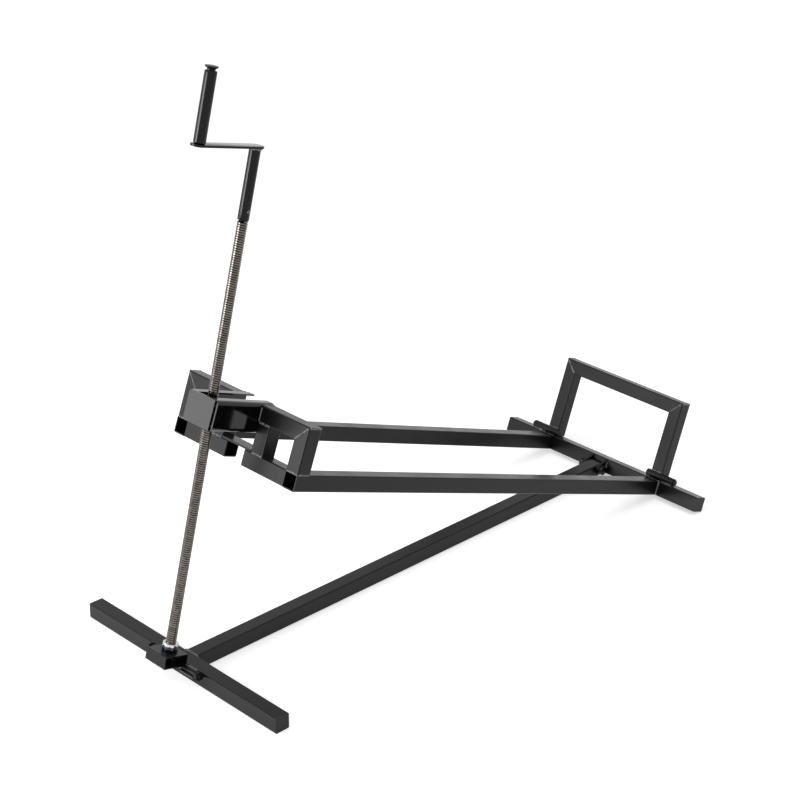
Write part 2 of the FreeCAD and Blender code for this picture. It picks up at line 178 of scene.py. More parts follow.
def seen_rays(tree):
    """Socket that is one for camera, glossy and transmission rays."""
    rays = add(tree, "ShaderNodeLightPath")
    seen = rays.outputs["Is Camera Ray"]
    for name in ("Is Glossy Ray", "Is Transmission Ray"):
        either = add(tree, "ShaderNodeMath", {"operation": "MAXIMUM"}, {0: seen, 1: rays.outputs[name]})
        seen = either.outputs[0]
    return seen


def satin_powder_coat(colours):
    """Polyester powder coat baked on steel: satin, with a fine orange peel and a faint haze of dust."""
    material, tree, principled = shader("satin_black_powder_coat")
    place = add(tree, "ShaderNodeTexCoord").outputs["Object"]
    haze = add(tree, "ShaderNodeTexNoise", {"Scale": per_mm(60), "Detail": 4}, {"Vector": place})
    specks = add(tree, "ShaderNodeTexNoise", {"Scale": per_mm(2.5), "Detail": 2}, {"Vector": place})
    peel = add(tree, "ShaderNodeTexNoise", {"Scale": per_mm(1.6), "Detail": 2}, {"Vector": place})
    soft = add(
        tree, "ShaderNodeMapRange", {"From Min": 0.35, "From Max": 0.7, "To Max": 0.35},
        {"Value": haze.outputs["Fac"]},
    )
    dusty = add(
        tree, "ShaderNodeMix", {"data_type": "RGBA", 6: colours.powder, 7: colours.powder_dust},
        {"Factor": soft.outputs["Result"]},
    )
    dots = add(
        tree, "ShaderNodeMapRange", {"From Min": 0.7, "From Max": 0.78, "To Max": 0.5},
        {"Value": specks.outputs["Fac"]},
    )
    tone = add(
        tree, "ShaderNodeMix", {"data_type": "RGBA", 7: linear("#2c2c2d")},
        {"Factor": dots.outputs["Result"], 6: dusty.outputs[2]},
    )
    rough = add(
        tree, "ShaderNodeMapRange", {"From Min": 0.3, "From Max": 0.75, "To Min": 0.27, "To Max": 0.38},
        {"Value": haze.outputs["Fac"]},
    )
    relief = add(
        tree, "ShaderNodeBump", {"Strength": 0.25, "Distance": 0.12 * MM}, {"Height": peel.outputs["Fac"]}
    )
    set_up(tree, principled, {"IOR": 1.5, "Specular IOR Level": 0.22}, {
        "Base Color": tone.outputs[2], "Roughness": rough.outputs["Result"],
        "Normal": relief.outputs["Normal"],
    })
    return material


def mottled(name, grain, tones, patches, gloss, settings):
    """Finish whose tone and gloss drift over patches of a grain in millimetres."""
    material, tree, principled = shader(name)
    place = add(tree, "ShaderNodeTexCoord").outputs["Object"]
    drift = add(tree, "ShaderNodeTexNoise", {"Scale": per_mm(grain), "Detail": 3}, {"Vector": place})
    patch = add(tree, "ShaderNodeMapRange", patches, {"Value": drift.outputs["Fac"]})
    tone = add(
        tree, "ShaderNodeMix", {"data_type": "RGBA", 6: tones[0], 7: tones[1]},
        {"Factor": patch.outputs["Result"]},
    )
    rough = add(tree, "ShaderNodeMapRange", gloss, {"Value": drift.outputs["Fac"]})
    set_up(tree, principled, settings, {
        "Base Color": tone.outputs[2], "Roughness": rough.outputs["Result"],
    })
    return material


def painted_weld(colours):
    """Powder coat pooled over weld ripples: glossier, so the beads catch a bright line; lighter grey
    patches paint a highlight.
    """
    return mottled(
        # The lighter grey mixed in by the patches is a painted highlight
        "painted_weld_bead", 7, (linear("#121213"), colours.weld),
        {"From Min": 0.35, "From Max": 0.6},
        {"From Min": 0.3, "From Max": 0.7, "To Min": 0.14, "To Max": 0.3},
        {"IOR": 1.5, "Coat Weight": 0.6, "Coat Roughness": 0.1},
    )


def glossy_enamel(colours, name="glossy_black_enamel", level=0.24):
    """Baked black enamel on steel: a wet gloss with faint waviness and hairline scuffs."""
    material, tree, principled = shader(name)
    place = add(tree, "ShaderNodeTexCoord").outputs["Object"]
    wave = add(tree, "ShaderNodeTexNoise", {"Scale": per_mm(14), "Detail": 1.5}, {"Vector": place})
    # Millimetres across and along a scuff
    scuff_width, scuff_length = 1.111, 25
    stretched = add(
        tree, "ShaderNodeMapping",
        {"Scale": (per_mm(scuff_width), per_mm(scuff_width), per_mm(scuff_length))}, {"Vector": place},
    )
    scuffs = add(
        tree, "ShaderNodeTexNoise", {"Scale": 1, "Detail": 2}, {"Vector": stretched.outputs["Vector"]}
    )
    scratch = add(
        tree, "ShaderNodeMapRange", {"From Min": 0.62, "From Max": 0.75}, {"Value": scuffs.outputs["Fac"]}
    )
    tone = add(
        tree, "ShaderNodeMix", {"data_type": "RGBA", 6: colours.enamel, 7: linear("#1c1c1e")},
        {"Factor": scratch.outputs["Result"]},
    )
    rough = add(
        tree, "ShaderNodeMapRange", {"From Min": 0.4, "From Max": 0.75, "To Min": 0.06, "To Max": 0.16},
        {"Value": scuffs.outputs["Fac"]},
    )
    relief = add(
        tree, "ShaderNodeBump", {"Strength": 0.2, "Distance": 0.25 * MM}, {"Height": wave.outputs["Fac"]}
    )
    set_up(tree, principled, {"IOR": 1.5, "Specular IOR Level": level}, {
        "Base Color": tone.outputs[2], "Roughness": rough.outputs["Result"],
        "Normal": relief.outputs["Normal"],
    })
    return material


def channel_enamel(colours):
    """The same enamel laid thicker on the pressed channel, whose flat faces mirror the lamps more."""
    return glossy_enamel(colours, "channel_black_enamel", 0.37)


def rolled_screw_steel(colours):
    """Rolled carbon steel thread: bright burnished crests, brown oil held in the grooves."""
    material, tree, principled = shader("rolled_oiled_steel")
    place = add(tree, "ShaderNodeTexCoord").outputs["Object"]
    crest = add(tree, "ShaderNodeAttribute", {"attribute_name": "crest"}).outputs["Fac"]
    grime = add(tree, "ShaderNodeTexNoise", {"Scale": per_mm(9), "Detail": 4}, {"Vector": place})
    fine = add(tree, "ShaderNodeTexNoise", {"Scale": per_mm(0.8), "Detail": 2}, {"Vector": place})
    height = add(tree, "ShaderNodeMapRange", {"From Min": 0.6}, {"Value": crest})
    bright = add(
        tree, "ShaderNodeMix", {"data_type": "RGBA", 6: linear("#2f2823"), 7: colours.screw},
        {"Factor": grime.outputs["Fac"]},
    )
    tone = add(
        tree, "ShaderNodeMix", {"data_type": "RGBA", 6: colours.screw_groove},
        {"Factor": height.outputs["Result"], 7: bright.outputs[2]},
    )
    rough = add(tree, "ShaderNodeMapRange", {"To Min": 0.45, "To Max": 0.2}, {"Value": crest})
    relief = add(
        tree, "ShaderNodeBump", {"Strength": 0.2, "Distance": 0.05 * MM}, {"Height": fine.outputs["Fac"]}
    )
    set_up(tree, principled, {"Metallic": 1}, {
        "Base Color": tone.outputs[2], "Roughness": rough.outputs["Result"],
        "Normal": relief.outputs["Normal"],
    })
    return material


def zinc_plate(colours):
    """Bright zinc plate on nuts and pins: bluish grey, crystalline mottling at a few millimetres."""
    material, tree, principled = shader("bright_zinc_plate")
    place = add(tree, "ShaderNodeTexCoord").outputs["Object"]
    crystals = add(tree, "ShaderNodeTexVoronoi", {"Scale": per_mm(3)}, {"Vector": place})
    tone = add(
        tree, "ShaderNodeMix", {"data_type": "RGBA", 6: colours.zinc, 7: linear("#6d7073")},
        {"Factor": crystals.outputs["Distance"]},
    )
    rough = add(
        tree, "ShaderNodeMapRange", {"From Max": 0.8, "To Min": 0.24, "To Max": 0.42},
        {"Value": crystals.outputs["Distance"]},
    )
    set_up(tree, principled, {"Metallic": 1}, {
        "Base Color": tone.outputs[2], "Roughness": rough.outputs["Result"],
    })
    return material


def black_zinc_plate(colours):
    """Black passivated zinc on bolts and pins: dark metal with worn lighter patches."""
    return mottled(
        "black_zinc_plate", 6, (colours.black_zinc, linear("#5c5e62")),
        {"From Min": 0.55, "From Max": 0.75, "To Max": 0.6},
        {"From Min": 0.3, "From Max": 0.75, "To Min": 0.38, "To Max": 0.26},
        {"Metallic": 1},
    )


def polished_race(colours):
    """Ground and polished bearing steel: mirror bright, with faint smears of oil."""
    return mottled(
        "polished_bearing_steel", 5, (colours.chrome, linear("#a9abad")), {},
        {"From Min": 0.3, "From Max": 0.7, "To Min": 0.08, "To Max": 0.2},
        {"Metallic": 1},
    )


def race_with_painted_reflection(colours):
    """Bearing steel of the fixed race, darkened to paint a dark reflection: a dark mirror with faint smears
    of oil.
    """
    return mottled(
        "bearing_steel_painted_dark_reflection", 4, (colours.lower_race_painted_reflection, linear("#4a4e57")), {},
        {"From Min": 0.3, "From Max": 0.7, "To Min": 0.06, "To Max": 0.16},
        {"Metallic": 1},
    )


def finish(name):
    """The material of a finish, made once."""
    makers = {
        "satin_black_powder_coat": satin_powder_coat,
        "glossy_black_enamel": glossy_enamel,
        "channel_black_enamel": channel_enamel,
        "painted_weld_bead": painted_weld,
        "rolled_oiled_steel": rolled_screw_steel,
        "bright_zinc_plate": zinc_plate,
        "black_zinc_plate": black_zinc_plate,
        "polished_bearing_steel": polished_race,
        "bearing_steel_painted_dark_reflection": race_with_painted_reflection,
    }
    found = bpy.data.materials.get(name)
    return found or makers[name](bpy.context.scene.jack_colours)


def dress(node, material):
    """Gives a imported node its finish."""
    slots = frame["nodes"][node].data.materials
    if not slots:
        slots.append(material)
    for index in range(len(slots)):
        slots[index] = material


# Shapes

def new_piece(name, mesh, body, material, nodes=()):
    """Puts a finished mesh in the scene, on a body, in place of the nodes that it stands for."""
    piece = bpy.data.objects.new(name, mesh)
    bpy.context.scene.collection.objects.link(piece)
    if not mesh.materials:
        mesh.materials.append(material)
    mesh.materials[0] = material
    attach(piece, body)
    if nodes:
        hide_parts(*nodes)


def to_mesh(work, name, place):
    """Ends a bmesh: sound normals, edges sharp past 35 degrees, moved to its place."""
    bmesh.ops.remove_doubles(work, verts=work.verts, dist=1e-7)
    bmesh.ops.recalc_face_normals(work, faces=work.faces)
    for edge in work.edges:
        edge.smooth = len(edge.link_faces) < 2 or edge.calc_face_angle(0) < math.radians(35)
    for face in work.faces:
        face.smooth = True
    mesh = bpy.data.meshes.new(name)
    work.to_mesh(mesh)
    work.free()
    mesh.transform(place)
    return mesh


def stand_in(work, name, node, place, body, material):
    """Ends a bmesh as the piece that stands for a node."""
    new_piece(name, to_mesh(work, name, place), body, material, (node,))


def turned(work, profile, steps=48):
    """Adds a turned part to a bmesh: a closed outline of radius and height in millimetres about Z."""
    rings = []
    for radius, height in profile:
        if radius == 0:
            rings.append([work.verts.new(Vector((0, 0, height)) * MM)])
            continue
        ring = []
        for step in range(steps):
            turn = 2 * math.pi * step / steps
            point = Vector((radius * math.cos(turn), radius * math.sin(turn), height))
            ring.append(work.verts.new(point * MM))
        rings.append(ring)
    for first, second in zip(rings, rings[1:] + rings[:1]):
        for step in range(steps):
            after = (step + 1) % steps
            corners = [
                first[step % len(first)], first[after % len(first)],
                second[after % len(second)], second[step % len(second)],
            ]
            corners = list(dict.fromkeys(corners))
            if len(corners) > 2:
                work.faces.new(corners)


def rounded_rod(radius, low, high, edge, bore=0.0):
    """Outline of a rod or a ring whose outer rims are rounded by edge."""
    quarter = [math.pi / 2 * step / 4 for step in range(5)]
    centre = radius - edge
    outline = [(bore, low)]
    outline += [(centre + edge * math.sin(turn), low + edge - edge * math.cos(turn)) for turn in quarter]
    outline += [(centre + edge * math.cos(turn), high - edge + edge * math.sin(turn)) for turn in quarter]
    return outline + [(bore, high)]


def hexagonal(work, across, low, high, bore, chamfered=("high",)):
    """Adds a hexagonal nut or head about Z with turned chamfers and a round bore."""
    steps = 48
    flat = across / 2
    rim = flat * 0.96
    slope = math.tan(math.radians(30))
    radii = []
    for step in range(steps):
        turn = 2 * math.pi * step / steps
        part = (turn + math.pi / 6) % (math.pi / 3) - math.pi / 6
        radii.append(flat / math.cos(part))

    def ring(radius_of, height_of):
        points = []
        for step in range(steps):
            turn = 2 * math.pi * step / steps + math.pi / 6
            point = Vector((math.cos(turn), math.sin(turn), 0)) * radius_of(step)
            point.z = height_of(step)
            points.append(work.verts.new(point * MM))
        return points

    low_drop = slope if "low" in chamfered else 0.0
    high_drop = slope if "high" in chamfered else 0.0
    rings = [
        ring(lambda step: rim if low_drop else radii[step], lambda step: low),
        ring(lambda step: radii[step], lambda step: low + (radii[step] - rim) * low_drop),
        ring(lambda step: radii[step], lambda step: high - (radii[step] - rim) * high_drop),
        ring(lambda step: rim if high_drop else radii[step], lambda step: high),
    ]
    if bore:
        rings.append(ring(lambda step: bore, lambda step: high))
        rings.append(ring(lambda step: bore, lambda step: low))
        pairs = zip(rings, rings[1:] + rings[:1])
    else:
        pairs = zip(rings, rings[1:])
        work.faces.new(rings[0])
        work.faces.new(rings[-1])
    for first, second in pairs:
        for step in range(steps):
            after = (step + 1) % steps
            work.faces.new((first[step], first[after], second[after], second[step]))


# Geometry Nodes

def group_input(tree, name, kind, default=None):
    """Adds a named input to a node group."""
    socket = tree.interface.new_socket(name=name, in_out="INPUT", socket_type=kind)
    if default is not None:
        socket.default_value = default


def thread_tree():
    """Node group: a trapezoidal thread wound on a round core along Z."""
    found = bpy.data.node_groups.get("wound_thread")
    if found:
        return found
    tree = bpy.data.node_groups.new("wound_thread", "GeometryNodeTree")
    group_input(tree, "Geometry", "NodeSocketGeometry")
    for name, default in (("Core radius", 7), ("Depth", 2), ("Pitch", 4), ("Length", 100)):
        group_input(tree, name, "NodeSocketFloat", default * MM)
    group_input(tree, "Steps", "NodeSocketInt", 20)
    group_input(tree, "Material", "NodeSocketMaterial")
    tree.interface.new_socket(name="Geometry", in_out="OUTPUT", socket_type="NodeSocketGeometry")
    given = add(tree, "NodeGroupInput")
    core, depth, pitch, run = (given.outputs[n] for n in ("Core radius", "Depth", "Pitch", "Length"))

    # The ridge's widths as shares of the pitch, and its height with its root sunk in the core
    shares = {}
    for name, socket, share in (
        ("half depth", depth, 0.5), ("half pitch", pitch, 0.5), ("half run", run, 0.5),
        ("root width", pitch, 0.62), ("crest width", pitch, 0.28), ("ridge height", depth, 1.1),
    ):
        node = add(tree, "ShaderNodeMath", {"operation": "MULTIPLY", 1: share}, {0: socket})
        shares[name] = node.outputs[0]
    wound = add(tree, "ShaderNodeMath", {"operation": "SUBTRACT"}, {0: run, 1: pitch}).outputs[0]
    turns = add(tree, "ShaderNodeMath", {"operation": "DIVIDE"}, {0: wound, 1: pitch}).outputs[0]
    middle = add(
        tree, "ShaderNodeMath", {"operation": "ADD"}, {0: core, 1: shares["half depth"]}
    ).outputs[0]
    spiral = add(tree, "GeometryNodeCurveSpiral", {}, {
        "Resolution": given.outputs["Steps"], "Rotations": turns,
        "Start Radius": middle, "End Radius": middle, "Height": wound,
    })
    upright = add(tree, "GeometryNodeSetCurveNormal", {"mode": "Z_UP"}, {"Curve": spiral.outputs["Curve"]})
    ridge = add(tree, "GeometryNodeCurvePrimitiveQuadrilateral", {"mode": "TRAPEZOID", "Offset": 0.0}, {
        "Bottom Width": shares["root width"], "Top Width": shares["crest width"],
        "Height": shares["ridge height"],
    })
    quarter = {"Rotation": (0, 0, -math.pi / 2)}
    outwards = add(tree, "GeometryNodeTransform", quarter, {"Geometry": ridge.outputs["Curve"]})
    swept = add(tree, "GeometryNodeCurveToMesh", {"Fill Caps": True}, {
        "Curve": upright.outputs["Curve"], "Profile Curve": outwards.outputs["Geometry"],
    })
    rod = add(tree, "GeometryNodeMeshCylinder", {"Vertices": 40}, {"Radius": core, "Depth": run})
    join = add(tree, "GeometryNodeJoinGeometry")
    for part, rise in ((swept, shares["half pitch"]), (rod, shares["half run"])):
        lift = add(tree, "ShaderNodeCombineXYZ", {}, {"Z": rise})
        raised = add(tree, "GeometryNodeTransform", {}, {
            "Geometry": part.outputs["Mesh"], "Translation": lift.outputs["Vector"],
        })
        tree.links.new(raised.outputs["Geometry"], join.inputs["Geometry"])
    whole = add(tree, "GeometryNodeRealizeInstances", {}, {"Geometry": join.outputs["Geometry"]})
    painted = add(tree, "GeometryNodeSetMaterial", {}, {
        "Geometry": whole.outputs["Geometry"], "Material": given.outputs["Material"],
    })
    add(tree, "NodeGroupOutput", {}, {"Geometry": painted.outputs["Geometry"]})
    return tree


def weld_tree():
    """Node group: overlapping ripples of weld metal along curves."""
    found = bpy.data.node_groups.get("weld_beads")
    if found:
        return found
    tree = bpy.data.node_groups.new("weld_beads", "GeometryNodeTree")
    group_input(tree, "Geometry", "NodeSocketGeometry")
    group_input(tree, "Bead radius", "NodeSocketFloat", 2.6 * MM)
    group_input(tree, "Spacing", "NodeSocketFloat", 2.2 * MM)
    group_input(tree, "Seed", "NodeSocketInt", 7)
    group_input(tree, "Material", "NodeSocketMaterial")
    tree.interface.new_socket(name="Geometry", in_out="OUTPUT", socket_type="NodeSocketGeometry")
    given = add(tree, "NodeGroupInput")
    points = add(tree, "GeometryNodeCurveToPoints", {"mode": "LENGTH"}, {
        "Curve": given.outputs["Geometry"], "Length": given.outputs["Spacing"],
    })
    ripple = add(tree, "GeometryNodeMeshUVSphere", {"Segments": 10, "Rings": 6}, {
        "Radius": given.outputs["Bead radius"],
    })
    flat = add(tree, "GeometryNodeTransform", {"Scale": (1, 1, 0.8)}, {"Geometry": ripple.outputs["Mesh"]})
    smallest, largest = 0.82, 1.08
    size = add(tree, "FunctionNodeRandomValue", {"data_type": "FLOAT", 2: smallest, 3: largest}, {
        "Seed": given.outputs["Seed"],
    })
    beads = add(tree, "GeometryNodeInstanceOnPoints", {}, {
        "Points": points.outputs["Points"], "Instance": flat.outputs["Geometry"],
        "Rotation": points.outputs["Rotation"], "Scale": size.outputs[1],
    })
    whole = add(tree, "GeometryNodeRealizeInstances", {}, {"Geometry": beads.outputs["Instances"]})
    soft = add(tree, "GeometryNodeSetShadeSmooth", {}, {"Geometry": whole.outputs["Geometry"]})
    painted = add(tree, "GeometryNodeSetMaterial", {}, {
        "Geometry": soft.outputs["Geometry"], "Material": given.outputs["Material"],
    })
    add(tree, "NodeGroupOutput", {}, {"Geometry": painted.outputs["Geometry"]})
    return tree


def grown(data, tree, values):
    """Runs a node group on a mesh or curve and returns the result as a plain mesh."""
    carrier = bpy.data.objects.new("carrier", data)
    bpy.context.scene.collection.objects.link(carrier)
    modifier = carrier.modifiers.new("grow", "NODES")
    modifier.node_group = tree
    names = {item.name: item.identifier for item in tree.interface.items_tree if item.in_out == "INPUT"}
    for key, value in values.items():
        modifier[names[key]] = value
    carrier.update_tag()
    graph = bpy.context.evaluated_depsgraph_get()
    mesh = bpy.data.meshes.new_from_object(carrier.evaluated_get(graph), depsgraph=graph)
    bpy.data.objects.remove(carrier)
    return mesh


def wound_thread(core, depth, pitch, run, steps, material):
    """Thread about Z from the origin, lengths in metres."""
    values = {
        "Core radius": core, "Depth": depth, "Pitch": pitch,
        "Length": run, "Steps": steps, "Material": material,
    }
    mesh = grown(bpy.data.meshes.new("seed"), thread_tree(), values)
    if len(mesh.vertices) < 100:
        raise RuntimeError("the thread was not wound")
    return mesh


def weld_lines(name, lines, body):
    """Weld beads along lines of points in metres, as one piece on a body."""
    sizes = bpy.context.scene.jack_welds
    curve = bpy.data.curves.new(name, "CURVE")
    curve.dimensions = "3D"
    for points in lines:
        spline = curve.splines.new("POLY")
        spline.points.add(len(points) - 1)
        for point, place in zip(spline.points, points):
            point.co = (*place, 1)
    material = finish("painted_weld_bead")
    values = {
        "Bead radius": sizes.radius, "Spacing": sizes.spacing,
        "Seed": sizes.seed, "Material": material,
    }
    mesh = grown(curve, weld_tree(), values)
    mesh.name = name
    if len(mesh.vertices) < 100:
        raise RuntimeError("the weld beads were not laid")
    new_piece(name, mesh, body, material)


# Operators, one for each group of pieces

class JACK_OT_paint(bpy.types.Operator):
    """Paint the square tubes, the channel and the plates"""

    bl_idname = "jack.paint"
    bl_label = "Paint the frame"

    satin = (
        "front_foot", "foot_caps", "spine", "pivot_cradle_right", "pivot_cradle_left", "screw_block",
        "rail_right", "rail_left", "rear_bar", "rear_bar_caps", "hinge_ear_right", "hinge_ear_left",
        "outer_post_right", "outer_post_left", "top_bar_right", "top_bar_left",
        "lower_bar_right", "lower_bar_left", "inner_post_right", "inner_post_left", "tie_plate",
        "backstop_upright_right", "backstop_upright_left", "backstop_top_bar",
        "backstop_knuckle_right", "backstop_knuckle_left", "backstop_seat_right", "backstop_seat_left",
    )
    gloss = ("nut_channel", "channel_front_plate")
    zinc = ("lifting_nut", "journal_nut")

    def execute(self, context):
        for nodes, name in (
            (self.satin, "satin_black_powder_coat"),
            (self.gloss, "channel_black_enamel"),
            (self.zinc, "bright_zinc_plate"),
        ):
            for node in nodes:
                dress(node, finish(name))
        return {"FINISHED"}


class JACK_OT_screw(bpy.types.Operator):
    """Wind the lead screw with its journal and the spigot for the crank"""

    bl_idname = "jack.screw"
    bl_label = "Wind the screw"

    # Millimetres along the screw, from its joint's place
    thread_start = 31.7
    thread_end = 792.0
    journal_end = -0.5
    spigot = 15.0
    spigot_end = 850.0
    edge = 0.8
    spigot_edge = 1.0

    def execute(self, context):
        sizes = context.scene.jack_thread
        material = finish("rolled_oiled_steel")
        core = sizes.outer / 2 - sizes.depth
        run = (self.thread_end - self.thread_start) * MM
        steps = 20
        thread = wound_thread(core, sizes.depth, sizes.pitch, run, steps, material)
        work = bmesh.new()
        work.from_mesh(thread)
        for vertex in work.verts:
            vertex.co.z += self.thread_start * MM
        journal, spigot = sizes.journal / 2 / MM, self.spigot / 2
        turned(work, [
            (0, self.journal_end), (journal - self.edge, self.journal_end),
            (journal, self.journal_end + self.edge), (journal, self.thread_start),
            (0, self.thread_start),
        ])
        turned(work, [
            (0, self.thread_end), (spigot, self.thread_end), (spigot, self.spigot_end - self.spigot_edge),
            (spigot - self.spigot_edge, self.spigot_end), (0, self.spigot_end),
        ])
        mesh = to_mesh(work, "lead_screw", Matrix.Identity(4))
        crest = mesh.attributes.new("crest", "FLOAT", "POINT")
        for vertex, value in zip(mesh.vertices, crest.data):
            radius = math.hypot(vertex.co.x, vertex.co.y)
            value.value = min(max((radius - core) / sizes.depth, 0.0), 1.0)
        mesh.transform(SCREW_PLACE)
        new_piece("lead_screw", mesh, "turning_screw", material, ("screw",))
        return {"FINISHED"}


class JACK_OT_bearing(bpy.types.Operator):
    """Turn the lower race, darkened to paint a dark reflection, and the polished upper race of the thrust
    bearing
    """

    bl_idname = "jack.bearing"
    bl_label = "Turn the bearing races"

    # Bottom and top in millimetres along the screw, from its joint's place
    lower, lower_bore = (22.5, 31.5), 6.05
    upper, upper_bore = (31.7, 37.7), 9.0
    radius = 14.0
    edge = 0.9

    def execute(self, context):
        for name, (low, high), bore, body, steel in (
            # The lower race's dark steel is a painted dark reflection
            ("bearing_race_lower", self.lower, self.lower_bore, "rocking_block", "bearing_steel_painted_dark_reflection"),
            ("bearing_race_upper", self.upper, self.upper_bore, "turning_screw", "polished_bearing_steel"),
        ):
            work = bmesh.new()
            turned(work, rounded_rod(self.radius, low, high, self.edge, bore), steps=64)
            mesh = to_mesh(work, name, SCREW_PLACE)
            new_piece(name + "_polished", mesh, body, finish(steel), (name,))
        return {"FINISHED"}


class JACK_OT_crank(bpy.types.Operator):
    """Shape the crank: socket, arm, spindle with its head, and the turning grip"""

    bl_idname = "jack.crank"
    bl_label = "Shape the crank"

    # Heights in millimetres along the screw, from its joint's place, and the grip's from its middle
    socket = (792.0, 913.0)
    arm_top = 917.0
    socket_radius, socket_bore, socket_edge = 10.0, 7.5, 0.8
    arm_radius, arm_edge = 13.0, 0.7
    arm_overhang = 15.0
    reach = 124.0
    turn = math.radians(271.7)
    grip = (-58.5, 58.5)
    grip_radius, grip_bore, grip_edge = 10.5, 5.1, 2.5
    spindle_radius, play = 5.0, 0.5
    pin_height = 807.5
    pin_reach = 10.3
    pin_radius, pin_bore, pin_edge = 2.5, 1.5, 0.3
    # Radius and height above the grip of the spindle's head, and the dome that closes it
    head = ((7, 0.5), (7, 2), (10.6, 4.6), (11.3, 5.4))
    dome_radius, dome_foot, dome_rise = 11.5, 6.5, 2.0

    def execute(self, context):
        enamel = finish("glossy_black_enamel")
        work = bmesh.new()
        turned(work, rounded_rod(self.socket_radius, *self.socket, self.socket_edge, self.socket_bore))
        stand_in(
            work, "crank_socket_tube", "crank_socket", SCREW_PLACE, "turning_screw", enamel
        )
        self.arm(enamel)
        self.spindle(enamel)
        self.spring_pin()
        work = bmesh.new()
        turned(work, rounded_rod(self.grip_radius, *self.grip, self.grip_edge, self.grip_bore))
        stand_in(work, "grip_tube", "grip_sleeve", GRIP_PLACE, "grip", enamel)
        return {"FINISHED"}

    def arm(self, enamel):
        """Flat bar with rounded ends and softly broken edges."""
        work = bmesh.new()
        past = self.arm_overhang - self.arm_radius
        steps = 24
        outline = []
        for centre, first in ((self.reach + past, -90), (-past, 90)):
            for step in range(steps + 1):
                angle = math.radians(first + 180 * step / steps)
                x = centre + self.arm_radius * math.cos(angle)
                y = self.arm_radius * math.sin(angle)
                outline.append(Vector((x, y, self.socket[1])) * MM)
        face = work.faces.new([work.verts.new(point) for point in outline])
        grown_face = bmesh.ops.extrude_face_region(work, geom=[face])
        rise = [item for item in grown_face["geom"] if isinstance(item, bmesh.types.BMVert)]
        bmesh.ops.translate(work, verts=rise, vec=Vector((0, 0, (self.arm_top - self.socket[1]) * MM)))
        bmesh.ops.recalc_face_normals(work, faces=work.faces)
        rims = [edge for edge in work.edges if abs(edge.verts[0].co.z - edge.verts[1].co.z) < 1e-6]
        bmesh.ops.bevel(
            work, geom=rims, offset=self.arm_edge * MM, segments=3, profile=0.5,
            affect="EDGES", clamp_overlap=True,
        )
        place = SCREW_PLACE @ Matrix.Rotation(self.turn, 4, "Z")
        stand_in(work, "crank_arm_bar", "crank_arm", place, "turning_screw", enamel)

    def spring_pin(self):
        """Hollow spring pin across the socket."""
        steel = finish("bright_zinc_plate")
        across = Matrix.Translation((0, 0, self.pin_height * MM)) @ Matrix.Rotation(math.pi / 2, 4, "Y")
        work = bmesh.new()
        reach = self.pin_reach
        turned(work, rounded_rod(self.pin_radius, -reach, reach, self.pin_edge, self.pin_bore), steps=32)
        stand_in(work, "spring_pin", "socket_pin", SCREW_PLACE @ across, "turning_screw", steel)

    def spindle(self, enamel):
        """Spindle with a neck and a thin domed head above the grip."""
        top = self.grip[1]
        foot = -(top + self.play + self.arm_top - self.socket[1])
        outline = [(0, foot), (self.spindle_radius, foot), (self.spindle_radius, top + self.play)]
        outline += [(radius, top + height) for radius, height in self.head]
        for step in range(11):
            angle = math.radians(8 * step)
            height = top + self.dome_foot + self.dome_rise * math.sin(angle)
            outline.append((self.dome_radius * math.cos(angle), height))
        outline.append((0, top + self.dome_foot + self.dome_rise))
        work = bmesh.new()
        turned(work, outline)
        stand_in(
            work, "grip_spindle_head", "grip_spindle", GRIP_PLACE, "turning_screw", enamel
        )


